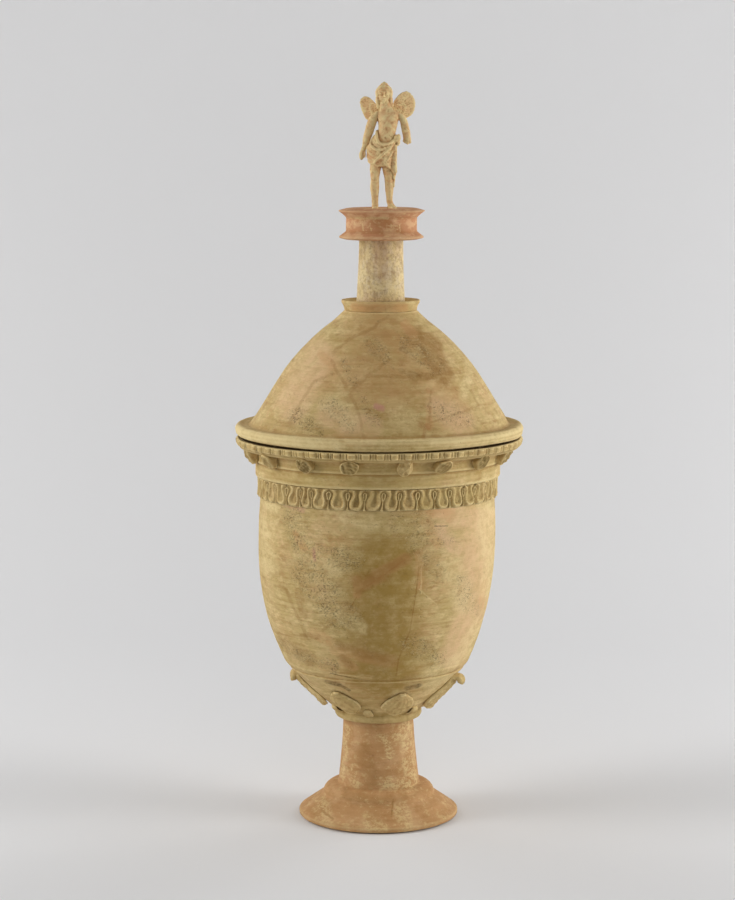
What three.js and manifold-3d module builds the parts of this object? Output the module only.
// A tall lidded urn of fired clay: a trumpet foot, a deep bowl with moulded friezes and applied leaves,
// a domed lid, and a loose finial of a column, a spool and a winged youth.
// Lengths are in millimetres, +Z is up, and the origin is the middle of the face that the foot stands on.
// The front of the urn, which the youth faces, is -Y, and +X is on a viewer's right.

import * as THREE from 'three';
import { mergeVertices } from 'three/addons/utils/BufferGeometryUtils.js';
import Module from 'manifold-3d';

const wasm = await Module();
wasm.setup();

// Facets of the turned pieces, and sides of the modelled ones
const potFacets = 40;
const smallFacets = 28;
const bossFacets = 8;
const limbSides = 10;
const bodySides = 14;

// Clearances
const seatGap = 0.3; // between an applied piece and the clay it is pressed on
const leafSeatGap = 0.5; // under a leaf, whose flat facets dip towards the round wall
const mouthClearance = 2.5; // lid's locating ring in the mouth of the bowl
const tenonClearance = 1; // loose tenons of the finial

// Foot
const footRadius = 98.5;
const footLipDraft = 0.5; // the lip leans in by this much at the floor
const footLipHeight = 6.5;
const flareHeight = 21;
const flareTopRadius = 69;
const stepHeight = 13.4;
const stemFootRadius = 50.3;
const stemTopRadius = 43.2;
const stemHeight = 86.1;
const stemTaperPower = 1.5;
const footWall = 8.5;

// Base ring between the stem and the bowl
const ringHeight = 10;
const ringDrop = 3; // how far the ring reaches down over the stem
const ringReach = 10.6; // from the top of the stem out to the widest line
const ringRound = 4;

// Bowl
const bowlWall = 8;
const coneFootReach = 9.2; // from the top of the stem out to the foot of the cone
const coneTopRadius = 105.5;
const coneHeight = 47.5;
const ridgeHeight = 5;
const ridgeReach = 2.1;
const wallFootRadius = 109;
const bellyRadius = 145.2;
const bellyRise = 158; // from the ridge up to the widest line
const bellyPower = 2.2;
const shoulderRise = 54; // from the widest line up to the tongue frieze
const shoulderDraft = 1.8;
const friezeHeight = 26.5;
const fasciaReach = 6; // from the shoulder out to the fascia
const fasciaHeight = 18.5;
const neckReach = 1.6; // from the fascia out to the neck
const neckHeight = 15.5;
const neckFlare = 5;
const rimReach = 19; // from the neck out to the rim
const rimHeight = 12.5;
const rimWidth = 28; // from the mouth out to the edge of the rim

// Tongue frieze round the shoulder
const tongueCount = 38;
const tongueHeight = 25.2;
const tongueGround = 1.5; // thickness of the strip between the tongues
const tongueRelief = 3;

// Egg frieze on the edge of the rim
const eggCount = 60;
const eggOverhang = 5.7; // from the rim out to the tops of the eggs
const eggRelief = 1.8;
const eggFoot = 1.2; // thickness at the lower edge

// Applied bosses under the rim, in degrees from the front, as the potter's hand spaced them
const bossPlaces = [-76, -55, -33, -13, 11, 28, 50, 72, 92, 113, 134, 156, 177, 198, 220, 241, 263];
const bossHalfWidth = 10;
const bossHalfHeight = 7.7;
const bossDepth = 16.5;

// Applied leaves on the cone of the bowl
const leafCount = 7;
const leafPhase = 18.9; // degrees from the front to the first leaf
const leafHalfWidth = 18.5;
const leafThickness = 4.6;
const leafEdgeThickness = 1.6;
const leafCurl = 10.5; // how far the tip stands out past the end of the attached part
const leafTipDrop = 12;
const leafStartRise = 2.2; // above the foot of the cone
const leafAttachedShare = 0.9; // of the cone's slope

// Small sepals at the foot of the cone, between the leaves
const sepalHalfWidth = 6;
const sepalStartRise = 0.8; // above the foot of the cone
const sepalRise = 9;
const sepalThickness = 4.4;
const sepalEdgeThickness = 1.8;

// Lid
const lidWall = 7.5;
const lidRimThickness = 17.5; // from the seat up to the top of the rim
const lidRimLift = 2.6; // gap between the friezes of the rim and the lid's edge
const lidRimRound = 6.5;
const lidSeatInset = 6; // from the edge of the rim in to the seat's edge
const channelDepth = 0.9;
const channelWidth = 5;
const lidLedge = 18.7; // from the foot of the dome out to the lid's edge
const domeHeight = 136;
const crownRadius = 44.2;
const flangeHeight = 4; // of the flat shelf inside the foot of the dome
const locatorHeight = 14;
const locatorWall = 6;

// Collar on the crown of the lid
const collarHeight = 12.8;
const collarFlare = 3.5;
const collarLip = 3;
const collarRecessDepth = 8;

// Column
const columnFootRadius = 30.4;
const columnTopRadius = 26.8;
const columnHeight = 86.5;
const columnWall = 9;
const columnTaperPower = 1.8;
const tenonRadius = 17;
const tenonLength = 12.5;
const topTenonLength = 6;
const tenonBore = 10;

// Spool that carries the figure
const spoolRadius = 52.4;
const spoolLowerRadius = 51.4;
const spoolNeckRadius = 43;
const spoolHeight = 34.2;
const lipThickness = 4.2; // of the upper flange, above its bevel
const bevelHeight = 4.5;
const lowerFlangeThickness = 6;
const spoolFillet = 2.2; // between a flange and the neck
const spoolWall = 7.5;

// Winged youth, measured from the soles to the crown of the head
const figureHeight = 152.4;
const wingThickness = 4;
const wingBack = 5.5; // from the middle of the body back to the roots of the wings
const wingSweep = 22; // degrees that the wings lean back

// Levels, stacked from the floor up
const flareTopZ = footLipHeight + flareHeight;
const stemFootZ = flareTopZ + stepHeight;
const stemTopZ = stemFootZ + stemHeight;
const ringTopZ = stemTopZ - ringDrop + ringHeight;
const coneTopZ = ringTopZ + coneHeight;
const wallFootZ = coneTopZ + ridgeHeight;
const bellyZ = wallFootZ + bellyRise;
const shoulderZ = bellyZ + shoulderRise;
const fasciaFootZ = shoulderZ + friezeHeight;
const neckFootZ = fasciaFootZ + fasciaHeight;
const rimFootZ = neckFootZ + neckHeight;
const rimTopZ = rimFootZ + rimHeight;
const lidRimTopZ = rimTopZ + lidRimThickness;
const crownZ = lidRimTopZ + domeHeight;
const spoolFootZ = crownZ + columnHeight;
const spoolTopZ = spoolFootZ + spoolHeight;

// Radii, stepped out from the stem and from the bowl's widest line
const coneFootRadius = stemTopRadius + coneFootReach;
const shoulderRadius = bellyRadius - shoulderDraft;
const fasciaRadius = shoulderRadius + fasciaReach;
const neckRadius = fasciaRadius + neckReach;
const rimRadius = neckRadius + rimReach;
const mouthRadius = rimRadius - rimWidth;
const lidRimRadius = rimRadius + eggOverhang;
const lidSeatOuterRadius = rimRadius - lidSeatInset;
const domeRadius = lidRimRadius - lidLedge;
const locatorRadius = mouthRadius - mouthClearance;
const quarterTurn = Math.PI / 2;

// Materials
const slip = clay('cream_slip', '#c8b27e', 0.85);
const appliedSlip = clay('applied_slip', '#c9b681', 0.85);
const footClay = clay('foot_clay', '#b98a58', 0.85);
const columnSlip = clay('column_slip', '#cdbf9d', 0.85);
const redClay = clay('red_clay', '#b9734a', 0.85);
const figureClay = clay('figure_clay', '#cfa877', 0.85);

function clay(name, color, roughness) {
  return new THREE.MeshStandardMaterial({ name, color, roughness, metalness: 0 });
}

// Outlines and solids

function at(radius, height) {
  return new THREE.Vector2(radius, height);
}

// Points of an ellipse's arc, from one angle to another in quarter turns
function arc(centre, reach, from, to, steps) {
  const points = [];
  for (let i = 0; i <= steps; i += 1) {
    const angle = (from + ((to - from) * i) / steps) * quarterTurn;
    points.push(at(centre.x + reach.x * Math.cos(angle), centre.y + reach.y * Math.sin(angle)));
  }
  return points;
}

// Points of a wall whose radius moves from one value to another by a power of the height
function taper(start, end, power, steps, fromStart) {
  const points = [];
  for (let i = 0; i <= steps; i += 1) {
    const share = i / steps;
    const bend = fromStart ? 1 - (1 - share) ** power : share ** power;
    points.push(at(start.x + (end.x - start.x) * bend, start.y + (end.y - start.y) * share));
  }
  return points;
}

// An open outline moved sideways by a distance, to its left as it runs
function moved(outline, distance) {
  return outline.map((point, i) => {
    const before = outline[Math.max(i - 1, 0)];
    const after = outline[Math.min(i + 1, outline.length - 1)];
    const run = after.clone().sub(before).normalize();
    return at(point.x - run.y * distance, point.y + run.x * distance);
  });
}

// Merges shared corners, drops faces that close to a line and turns the faces outwards
function closed(geometry) {
  geometry.deleteAttribute('normal');
  geometry.deleteAttribute('uv');
  const merged = mergeVertices(geometry);
  const corners = merged.index.array;
  const faces = [];
  for (let i = 0; i < corners.length; i += 3) {
    const face = [corners[i], corners[i + 1], corners[i + 2]];
    if (new Set(face).size === face.length) faces.push(face);
  }
  const place = merged.attributes.position;
  const point = (i) => new THREE.Vector3().fromBufferAttribute(place, i);
  let volume = 0;
  for (const [a, b, c] of faces) volume += point(a).dot(point(b).cross(point(c)));
  merged.setIndex(faces.flatMap(([a, b, c]) => (volume < 0 ? [a, c, b] : [a, b, c])));
  return merged;
}

function turned(outline, facets = potFacets) {
  return closed(new THREE.LatheGeometry(outline, facets).rotateX(quarterTurn));
}

// A closed skin over loops of points; wrapped joins the last loop to the first, otherwise both ends are capped
function skinned(loops, wrapped) {
  const around = loops[0].length;
  const positions = loops.flat().flatMap((point) => [point.x, point.y, point.z]);
  const faces = [];
  const spans = wrapped ? loops.length : loops.length - 1;
  for (let i = 0; i < spans; i += 1) {
    for (let j = 0; j < around; j += 1) {
      const here = i * around;
      const there = ((i + 1) % loops.length) * around;
      const next = (j + 1) % around;
      faces.push(here + j, here + next, there + next, here + j, there + next, there + j);
    }
  }
  const last = (loops.length - 1) * around;
  for (let j = 1; !wrapped && j < around - 1; j += 1) {
    faces.push(0, j + 1, j, last, last + j, last + j + 1);
  }
  const geometry = new THREE.BufferGeometry();
  geometry.setAttribute('position', new THREE.Float32BufferAttribute(positions, 3));
  geometry.setIndex(faces);
  return closed(geometry);
}

function toSolid(geometry) {
  return new wasm.Manifold(new wasm.Mesh({
    numProp: 3,
    vertProperties: new Float32Array(geometry.attributes.position.array),
    triVerts: new Uint32Array(geometry.index.array),
  }));
}

// A solid's mesh; a cut can leave a chip behind, so only the largest body stays
function toGeometry(solid) {
  const [largest] = solid.decompose().sort((one, other) => other.volume() - one.volume());
  const { vertProperties, triVerts } = largest.getMesh();
  const geometry = new THREE.BufferGeometry();
  geometry.setAttribute('position', new THREE.Float32BufferAttribute(vertProperties, 3));
  geometry.setIndex(Array.from(triVerts));
  return closed(geometry);
}

function named(name, geometry, material) {
  const mesh = new THREE.Mesh(geometry, material);
  mesh.name = name;
  return mesh;
}

// Places in degrees from the front, evenly spread from the first
function spread(count, first) {
  return Array.from({ length: count }, (_, i) => first + (i * 360) / count);
}

// A copy of one solid at each place round the axis; the solid is made towards +X
function ringOf(name, places, geometry, material) {
  const group = new THREE.Group();
  for (const [i, place] of places.entries()) {
    const mesh = named(`${name}_${String(i + 1).padStart(2, '0')}`, geometry, material);
    mesh.rotation.z = THREE.MathUtils.degToRad(place) - quarterTurn;
    group.add(mesh);
  }
  return group;
}

// Foot

function footGeometry() {
  const stemReach = flareTopRadius - stemFootRadius;
  const outside = [
    at(footRadius - footLipDraft, 0),
    at(footRadius, footLipHeight),
    ...arc(at(stemFootRadius, flareTopZ), at(stemReach, stepHeight), 0, 1, 4),
    ...taper(at(stemFootRadius, stemFootZ), at(stemTopRadius, stemTopZ), stemTaperPower, 4, true).slice(1),
  ];
  const hollowReach = at(stemReach, stepHeight - footWall / 2);
  const inside = [
    at(stemTopRadius - footWall, stemTopZ),
    ...arc(at(stemFootRadius - footWall, flareTopZ - footWall / 2), hollowReach, 1, 0, 3),
    at(footRadius - footLipDraft - footWall, 0),
  ];
  return turned([...outside, ...inside, outside[0]]);
}

function baseRingGeometry() {
  const inner = stemTopRadius + seatGap;
  const outer = stemTopRadius + ringReach;
  const footZ = ringTopZ - ringHeight;
  const outline = [
    at(inner, footZ),
    at(outer - ringRound, footZ),
    ...arc(at(outer - ringRound, footZ + ringHeight / 2), at(ringRound, ringHeight / 2), -0.6, 0.8, 4),
    at(outer - ringRound, ringTopZ),
    at(inner, ringTopZ),
  ];
  return turned([...outline, outline[0]]);
}

// Bowl

function bowlWallOutline() {
  return [
    ...taper(at(bellyRadius, bellyZ), at(wallFootRadius, wallFootZ), bellyPower, 8).reverse(),
    ...taper(at(bellyRadius, bellyZ), at(shoulderRadius, shoulderZ), 2, 2).slice(1),
  ];
}

function neckOutline() {
  const flareFoot = at(neckRadius, rimFootZ - neckHeight / 2);
  return [at(neckRadius, neckFootZ), ...taper(flareFoot, at(neckRadius + neckFlare, rimFootZ), 2, 2)];
}

function bowlGeometry() {
  const wall = bowlWallOutline();
  const coneWall = bowlWall * Math.hypot(coneTopRadius - coneFootRadius, coneHeight) / coneHeight;
  const floorZ = ringTopZ + bowlWall;
  const coneSlope = (coneTopRadius - coneFootRadius) / coneHeight;
  const outside = [
    at(0, stemTopZ),
    at(stemTopRadius, stemTopZ),
    at(stemTopRadius, ringTopZ),
    at(coneFootRadius, ringTopZ),
    at(coneTopRadius, coneTopZ),
    at(coneTopRadius + ridgeReach, coneTopZ + ridgeHeight / 3),
    at(coneTopRadius + ridgeReach, wallFootZ - ridgeHeight / 4),
    ...wall,
    at(shoulderRadius, fasciaFootZ),
    at(fasciaRadius, fasciaFootZ),
    at(fasciaRadius, neckFootZ),
    ...neckOutline(),
    at(rimRadius, rimFootZ),
    at(rimRadius, rimTopZ),
  ];
  const inside = [
    at(mouthRadius, rimTopZ),
    at(mouthRadius, neckFootZ),
    ...wall.filter((_, i) => i % 2 === 0).reverse().map((point) => at(point.x - bowlWall, point.y)),
    at(coneFootRadius + coneSlope * bowlWall - coneWall, floorZ),
    at(0, floorZ),
  ];
  return turned([...outside, ...inside]);
}

// Half the width of a tongue at four heights, as shares of half its spacing
const tongueWidthShares = [0.42, 0.72, 0.6, 0.45];
// Relief at four heights, as shares of the full relief: the dart, the flank of a tongue and its hollow middle
const dartReliefShares = [0.3, 0.15, 0.35, 0.9];
const flankReliefShares = [0.7, 1, 0.95, 0.8];
const hollowReliefShares = [0.85, 0.4, 0.3, 0.35];
const tongueHeightShares = [0.04, 0.3, 0.68, 0.96];

function tongueFriezeGeometry() {
  const footZ = fasciaFootZ - (friezeHeight + tongueHeight) / 2;
  const backRadius = shoulderRadius + seatGap;
  const ground = backRadius + tongueGround;
  const spacing = (2 * Math.PI) / tongueCount;
  const column = (middle, side, reliefShares) => {
    const front = reliefShares.map((relief, row) => {
      const angle = middle + side * tongueWidthShares[row] * (spacing / 2);
      return around(ground + relief * tongueRelief, angle, footZ + tongueHeightShares[row] * tongueHeight);
    });
    return [around(backRadius, middle + side * (spacing / 4), footZ), ...front,
      around(backRadius, middle + side * (spacing / 4), footZ + tongueHeight)];
  };
  const loops = [];
  for (let i = 0; i < tongueCount; i += 1) {
    const middle = i * spacing;
    loops.push(column(middle - spacing / 2, 0, dartReliefShares));
    loops.push(column(middle, -1, flankReliefShares));
    loops.push(column(middle, 0, hollowReliefShares));
    loops.push(column(middle, 1, flankReliefShares));
  }
  return skinned(loops, true);
}

function around(radius, angle, height) {
  return new THREE.Vector3(radius * Math.cos(angle), radius * Math.sin(angle), height);
}

function eggFriezeGeometry() {
  const back = rimRadius + seatGap;
  const lip = rimRadius + eggOverhang;
  const loops = [];
  for (let i = 0; i < 2 * eggCount; i += 1) {
    const angle = (i * Math.PI) / eggCount;
    const sunk = i % 2 === 0 ? 0 : eggRelief;
    loops.push([
      around(back, angle, rimFootZ),
      around(back + eggFoot, angle, rimFootZ),
      around(lip - sunk, angle, rimFootZ + rimHeight / 2),
      around(lip, angle, rimTopZ),
      around(back, angle, rimTopZ),
    ]);
  }
  return skinned(loops, true);
}

// The boss's back is cut to the neck that it is pressed on
function bossGeometry() {
  const outline = [
    at(0, 0),
    at(bossHalfHeight, 0),
    ...arc(at(bossHalfHeight / 2, bossDepth / 2), at(bossHalfHeight / 2, bossDepth / 2), 0, 0.9, 2),
    at(0, bossDepth),
  ];
  const middleZ = rimFootZ - neckHeight / 2 - seatGap;
  const boss = closed(new THREE.LatheGeometry(outline, bossFacets)
    .rotateZ(-quarterTurn)
    .scale(1, bossHalfWidth / bossHalfHeight, 1)
    .translate(neckRadius, 0, middleZ));
  const neckRoom = neckOutline().map((point) => at(point.x + seatGap, point.y - seatGap));
  const room = turned([
    at(0, neckFootZ - neckHeight),
    at(neckRadius + seatGap, neckFootZ - neckHeight),
    ...neckRoom,
    at(rimRadius, rimFootZ - seatGap),
    at(rimRadius, rimTopZ),
    at(0, rimTopZ),
  ], 2 * potFacets);
  return toGeometry(toSolid(boss).subtract(toSolid(room)));
}

// A leaf pressed on a turned wall: a back line, half widths along it, and a thick rib down the middle
function appliedLeaf(backLine, halfWidths, rib, edge, sides) {
  const back = sides.map((side) => [side, 0]);
  const front = sides.map((side) => [-side, rib + (edge - rib) * Math.abs(side)]);
  const lift = (distance) => moved(backLine, -distance);
  return skinned(backLine.map((point, station) => [...front, ...back].map(([side, height]) => {
    const place = lift(height)[station];
    return around(place.x, (side * halfWidths[station]) / point.x, place.y);
  })), false);
}

// Half widths of a leaf from its foot to its tip, as shares of its widest half
const leafWidthShares = [0.75, 1, 0.92, 0.8, 0.62, 0.55, 0.48, 0.38, 0.2];

// Turned-over tip of a leaf: shares of how far it stands out and of how far it drops
const leafCurlShares = [[0.35, -0.08], [0.8, 0.08], [1, 0.45], [0.92, 1]];

function leafGeometry() {
  const slope = at(coneTopRadius - coneFootRadius, coneHeight);
  const steps = 4;
  const attached = [];
  for (let i = 0; i <= steps; i += 1) {
    const share = leafStartRise / coneHeight + (leafAttachedShare * i) / steps;
    attached.push(at(coneFootRadius + slope.x * share, ringTopZ + slope.y * share));
  }
  const end = attached[steps];
  const curl = leafCurlShares.map(([out, down]) => at(end.x + out * leafCurl, end.y - down * leafTipDrop));
  const backLine = moved([...attached, ...curl], -leafSeatGap);
  const halfWidths = leafWidthShares.map((share) => share * leafHalfWidth);
  return appliedLeaf(backLine, halfWidths, leafThickness, leafEdgeThickness, [-1, -0.5, 0, 0.5, 1]);
}

const sepalWidthShares = [0.5, 0.9, 1, 0.85, 0.5];

function sepalGeometry() {
  const slope = (coneTopRadius - coneFootRadius) / coneHeight;
  const backLine = sepalWidthShares.map((_, i) => {
    const rise = sepalStartRise + (sepalRise * i) / (sepalWidthShares.length - 1);
    return at(coneFootRadius + slope * rise, ringTopZ + rise);
  });
  const halfWidths = sepalWidthShares.map((share) => share * sepalHalfWidth);
  return appliedLeaf(moved(backLine, -leafSeatGap), halfWidths, sepalThickness, sepalEdgeThickness, [-1, 0, 1]);
}

// Lid

// Outline of the dome from its foot to its crown: shares of the way in and of the way up
const domeInShares = [0, 0.13, 0.25, 0.379, 0.541, 0.74, 0.902, 1];
const domeUpShares = [0, 0.17, 0.332, 0.495, 0.655, 0.815, 0.922, 1];

function domeOutline() {
  return domeInShares.map((share, i) => at(
    domeRadius - share * (domeRadius - crownRadius),
    lidRimTopZ + domeUpShares[i] * domeHeight,
  ));
}

function lidGeometry() {
  const dome = domeOutline();
  const holeRadius = tenonRadius + tenonClearance;
  const edgeMiddleZ = (rimTopZ + lidRimLift + lidRimTopZ) / 2;
  const edgeReach = at(lidRimRound, lidRimTopZ - edgeMiddleZ);
  const inner = moved(dome, lidWall).filter((_, i) => i % 2 === 0 || i === dome.length - 1);
  const roofZ = crownZ - lidWall;
  const outline = [
    at(holeRadius, crownZ),
    ...dome.slice().reverse(),
    at(domeRadius + channelWidth / 2, lidRimTopZ - channelDepth),
    at(domeRadius + channelWidth, lidRimTopZ),
    ...arc(at(lidRimRadius - lidRimRound, edgeMiddleZ), edgeReach, 1, -1, 5),
    at(lidSeatOuterRadius, rimTopZ + lidRimLift),
    at(lidSeatOuterRadius, rimTopZ),
    at(locatorRadius - locatorWall, rimTopZ),
    at(locatorRadius - locatorWall, rimTopZ + flangeHeight),
    ...inner.slice(0, -1).filter((point) => point.y < roofZ),
    at(crownRadius - lidWall, roofZ),
    at(holeRadius, roofZ),
  ];
  return turned([...outline, outline[0]]);
}

// Ring luted under the lid, which keeps it in the mouth of the bowl
function locatorGeometry() {
  const inner = locatorRadius - locatorWall;
  const outline = [
    at(inner, rimTopZ),
    at(inner, rimTopZ - locatorHeight),
    at(locatorRadius, rimTopZ - locatorHeight),
    at(locatorRadius, rimTopZ),
  ];
  return turned([...outline, outline[0]]);
}

function collarGeometry() {
  const bore = columnFootRadius + tenonClearance;
  const topZ = crownZ + collarHeight;
  const topRadius = crownRadius + collarFlare;
  const outline = [
    at(bore, crownZ),
    ...taper(at(crownRadius, crownZ), at(topRadius, topZ - collarLip), 2, 3),
    at(topRadius, topZ),
    at(topRadius - collarLip, topZ),
    at(bore + collarLip, topZ - collarRecessDepth),
    at(bore, topZ - collarRecessDepth),
  ];
  return turned([...outline, outline[0]], smallFacets);
}

// Finial

// The column is hollow, closed at its foot and open at the top, where the spool covers it
function columnGeometry() {
  const bore = columnTopRadius - columnWall;
  const outline = [
    at(0, crownZ - tenonLength),
    at(tenonRadius, crownZ - tenonLength),
    at(tenonRadius, crownZ),
    ...taper(at(columnFootRadius, crownZ), at(columnTopRadius, spoolFootZ), columnTaperPower, 4, true),
    at(tenonRadius, spoolFootZ),
    at(tenonRadius, spoolFootZ + topTenonLength),
    at(tenonBore, spoolFootZ + topTenonLength),
    at(tenonBore, spoolFootZ - columnWall),
    at(bore, spoolFootZ - 2 * columnWall),
    at(bore, crownZ + 2 * columnWall),
    at(0, crownZ + columnWall),
  ];
  return turned(outline, smallFacets);
}

function spoolGeometry() {
  const holeRadius = tenonRadius + tenonClearance;
  const innerRadius = spoolNeckRadius - spoolWall;
  const lipReach = at(lipThickness / 2, lipThickness / 2);
  const flangeReach = at((spoolRadius - spoolNeckRadius) / 3, lowerFlangeThickness / 2);
  const lowerZ = spoolFootZ + lowerFlangeThickness / 2;
  const outline = [
    at(0, spoolTopZ),
    ...arc(at(spoolRadius - lipReach.x, spoolTopZ - lipReach.y), lipReach, 1, -0.8, 4),
    at(spoolNeckRadius, spoolTopZ - lipThickness - bevelHeight),
    at(spoolNeckRadius, lowerZ + flangeReach.y + spoolFillet),
    ...arc(at(spoolLowerRadius - flangeReach.x, lowerZ), flangeReach, 0.9, -1, 4),
    at(holeRadius, spoolFootZ),
    at(holeRadius, spoolFootZ + spoolWall),
    at(innerRadius, spoolFootZ + spoolWall),
    at(innerRadius, spoolTopZ - spoolWall),
    at(0, spoolTopZ - spoolWall),
  ];
  return turned(outline, smallFacets);
}

// Winged youth. Every row gives, as shares of the figure's height: the height, the place to the right,
// the place towards the back, half the width and half the depth.

const headShares = [
  [0.812, 0.035, 0.0, 0.034, 0.034],
  [0.838, 0.03, -0.006, 0.054, 0.05],
  [0.87, 0.025, -0.005, 0.061, 0.06],
  [0.91, 0.021, 0.0, 0.062, 0.064],
  [0.945, 0.021, 0.002, 0.054, 0.056],
  [0.97, 0.026, 0.0, 0.034, 0.036],
  [0.988, 0.03, -0.002, 0.018, 0.02],
  [1, 0.031, -0.002, 0.008, 0.01],
];
const torsoShares = [
  [0.35, 0.0, 0.0, 0.078, 0.06],
  [0.4, 0.004, 0.0, 0.084, 0.066],
  [0.46, 0.012, 0.0, 0.086, 0.066],
  [0.54, 0.028, 0.0, 0.078, 0.058],
  [0.62, 0.042, -0.002, 0.071, 0.05],
  [0.7, 0.05, -0.002, 0.082, 0.057],
  [0.75, 0.052, 0.0, 0.09, 0.052],
  [0.776, 0.046, 0.0, 0.066, 0.042],
  [0.788, 0.04, 0.0, 0.042, 0.036],
  [0.812, 0.035, 0.0, 0.034, 0.034],
];
const rightLegShares = [
  [0, 0.082, -0.03, 0.034, 0.05],
  [0.03, 0.078, -0.022, 0.032, 0.044],
  [0.06, 0.064, 0.004, 0.026, 0.028],
  [0.1, 0.061, 0.006, 0.026, 0.03],
  [0.17, 0.06, 0.008, 0.035, 0.038],
  [0.25, 0.055, 0.0, 0.038, 0.038],
  [0.32, 0.05, -0.002, 0.046, 0.046],
  [0.4, 0.044, 0.0, 0.05, 0.052],
];
const leftLegShares = [
  [0, -0.052, -0.03, 0.031, 0.056],
  [0.03, -0.052, -0.022, 0.03, 0.046],
  [0.06, -0.052, 0.002, 0.028, 0.03],
  [0.1, -0.053, 0.004, 0.029, 0.031],
  [0.17, -0.055, 0.006, 0.037, 0.04],
  [0.25, -0.053, 0.0, 0.034, 0.037],
  [0.32, -0.05, 0.0, 0.043, 0.046],
  [0.4, -0.042, 0.0, 0.048, 0.052],
];
const leftArmShares = [
  [0.386, -0.155, -0.012, 0.008, 0.01],
  [0.409, -0.156, -0.012, 0.019, 0.022],
  [0.449, -0.147, -0.006, 0.022, 0.02],
  [0.49, -0.133, 0.0, 0.019, 0.02],
  [0.545, -0.118, 0.006, 0.029, 0.028],
  [0.61, -0.1, 0.006, 0.034, 0.032],
  [0.69, -0.074, 0.002, 0.036, 0.036],
  [0.735, -0.055, 0.0, 0.034, 0.034],
  [0.765, -0.035, 0.0, 0.018, 0.02],
];
const rightArmShares = [
  [0.518, 0.2, 0.0, 0.034, 0.032],
  [0.55, 0.201, 0.0, 0.033, 0.032],
  [0.6, 0.194, 0.0, 0.033, 0.032],
  [0.66, 0.183, 0.0, 0.031, 0.032],
  [0.71, 0.168, 0.0, 0.034, 0.034],
  [0.745, 0.148, 0.0, 0.03, 0.03],
  [0.77, 0.125, 0.0, 0.018, 0.02],
];
const mantleShares = [
  [0.345, 0.002, 0.0, 0.092, 0.076],
  [0.4, 0.004, 0.0, 0.1, 0.084],
  [0.47, 0.01, 0.0, 0.104, 0.086],
  [0.53, 0.022, 0.0, 0.1, 0.082],
  [0.57, 0.03, 0.0, 0.094, 0.074],
  [0.6, 0.036, 0.0, 0.08, 0.062],
];
const knotShares = [
  [0.515, 0.116, -0.02, 0.022, 0.03],
  [0.54, 0.118, -0.022, 0.036, 0.038],
  [0.57, 0.116, -0.022, 0.034, 0.036],
  [0.595, 0.112, -0.02, 0.016, 0.018],
];
const fallShares = [
  [0.13, 0.092, 0.0, 0.01, 0.02],
  [0.18, 0.094, 0.0, 0.017, 0.034],
  [0.25, 0.1, 0.0, 0.018, 0.042],
  [0.29, 0.098, 0.0, 0.03, 0.05],
  [0.36, 0.086, 0.0, 0.03, 0.06],
  [0.5, 0.092, 0.0, 0.03, 0.056],
];
// Outlines of the wings, seen from the front: place to the right and height, as shares of the figure's height
const leftWingShares = [
  [0.006, 0.77], [-0.03, 0.79], [-0.06, 0.828], [-0.098, 0.866], [-0.135, 0.876], [-0.167, 0.851],
  [-0.171, 0.813], [-0.146, 0.738], [-0.114, 0.689], [-0.07, 0.7], [-0.036, 0.725], [0.006, 0.74],
];
const rightWingShares = [
  [0.09, 0.76], [0.091, 0.828], [0.113, 0.862], [0.151, 0.9], [0.197, 0.915], [0.238, 0.889],
  [0.265, 0.836], [0.261, 0.776], [0.238, 0.731], [0.189, 0.712], [0.144, 0.72],
];

// A limb or body through its rows, with every half width grown by a distance
function modelled(rows, sides, grown = 0) {
  return toSolid(skinned(rows.map(([height, right, back, halfWidth, halfDepth]) => {
    const loop = [];
    for (let i = 0; i < sides; i += 1) {
      const angle = ((i + 0.5) * 2 * Math.PI) / sides;
      loop.push(new THREE.Vector3(
        right * figureHeight + (halfWidth * figureHeight + grown) * Math.cos(angle),
        back * figureHeight + (halfDepth * figureHeight + grown) * Math.sin(angle),
        spoolTopZ + height * figureHeight,
      ));
    }
    return loop;
  }), false));
}

function youthBody(grown = 0) {
  return modelled(torsoShares, bodySides, grown)
    .add(modelled(leftLegShares, limbSides, grown))
    .add(modelled(rightLegShares, limbSides, grown));
}

// A flat wing, leant back about the upright line where it leaves the shoulder
function wing(outlineShares, lean) {
  const [rootShare] = outlineShares[0];
  const root = rootShare * figureHeight;
  const stretch = 1 / Math.cos(THREE.MathUtils.degToRad(wingSweep));
  const points = outlineShares.map(([right, up]) => (
    new THREE.Vector2((right * figureHeight - root) * stretch, up * figureHeight)));
  const shape = new THREE.Shape(points);
  return toSolid(closed(new THREE.ExtrudeGeometry(shape, { depth: wingThickness, bevelEnabled: false })
    .rotateX(quarterTurn)
    .translate(0, wingThickness, 0)
    .rotateZ(lean * THREE.MathUtils.degToRad(wingSweep))
    .translate(root, wingBack, spoolTopZ)));
}

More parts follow.
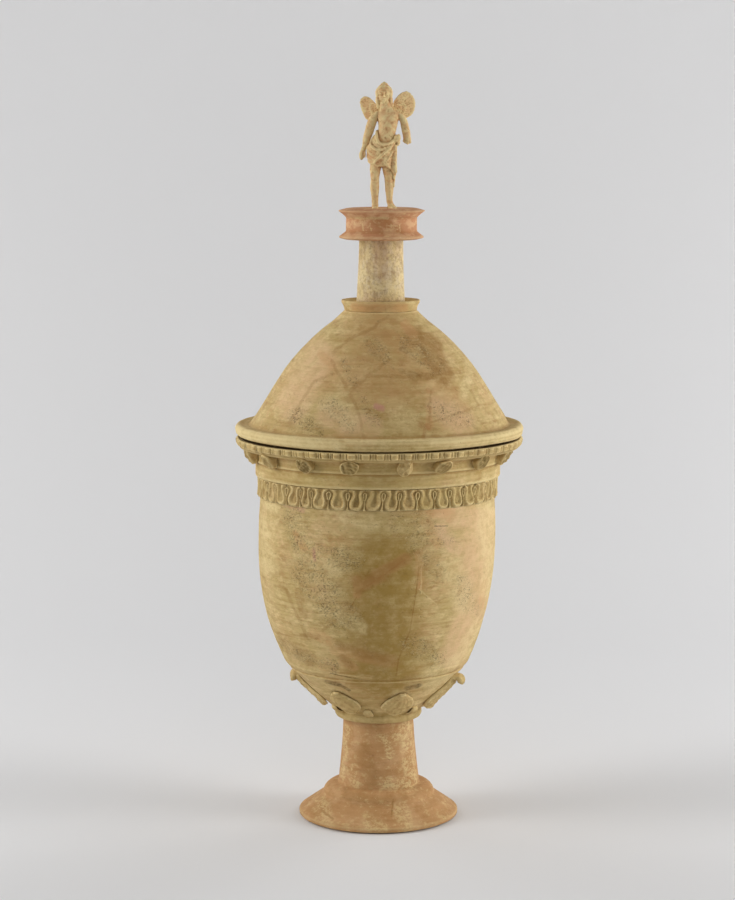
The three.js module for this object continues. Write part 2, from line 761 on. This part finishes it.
function youth() {
  const group = new THREE.Group();
  const body = youthBody();
  const room = youthBody(seatGap);
  const arms = [leftArmShares, rightArmShares];
  const [leftArm, rightArm] = arms.map((rows) => modelled(rows, limbSides).subtract(room));
  const armRoom = arms.map((rows) => modelled(rows, limbSides, seatGap)).reduce((one, other) => one.add(other));
  const headRoom = modelled(headShares, bodySides, seatGap);
  const pressed = (solid) => solid.subtract(room).subtract(armRoom);
  const drape = modelled(mantleShares, bodySides)
    .add(modelled(knotShares, limbSides))
    .add(modelled(fallShares, limbSides));
  group.add(
    named('youth_body', toGeometry(body), figureClay),
    named('youth_head', toGeometry(modelled(headShares, bodySides)), figureClay),
    named('youth_left_arm', toGeometry(leftArm), figureClay),
    named('youth_right_arm', toGeometry(rightArm), figureClay),
    named('youth_mantle', toGeometry(pressed(drape)), figureClay),
    named('youth_left_wing', toGeometry(pressed(wing(leftWingShares, -1)).subtract(headRoom)), figureClay),
    named('youth_right_wing', toGeometry(pressed(wing(rightWingShares, 1)).subtract(headRoom)), figureClay),
  );
  return group;
}

// The urn

function vessel() {
  const group = new THREE.Group();
  group.add(
    named('foot', footGeometry(), footClay),
    named('base_ring', baseRingGeometry(), slip),
    named('bowl', bowlGeometry(), slip),
    named('tongue_frieze', tongueFriezeGeometry(), appliedSlip),
    named('egg_frieze', eggFriezeGeometry(), appliedSlip),
    ringOf('boss', bossPlaces, bossGeometry(), appliedSlip),
    ringOf('leaf', spread(leafCount, leafPhase), leafGeometry(), appliedSlip),
    ringOf('sepal', spread(leafCount, leafPhase + 180 / leafCount), sepalGeometry(), appliedSlip),
  );
  return group;
}

function lid() {
  const group = new THREE.Group();
  group.add(
    named('lid', lidGeometry(), slip),
    named('lid_locator', locatorGeometry(), slip),
    named('lid_collar', collarGeometry(), slip),
  );
  return group;
}

function finial() {
  const group = new THREE.Group();
  group.add(
    named('column', columnGeometry(), columnSlip),
    named('spool', spoolGeometry(), redClay),
    youth(),
  );
  return group;
}

const urn = new THREE.Group();
urn.add(vessel(), lid(), finial());

export default urn;
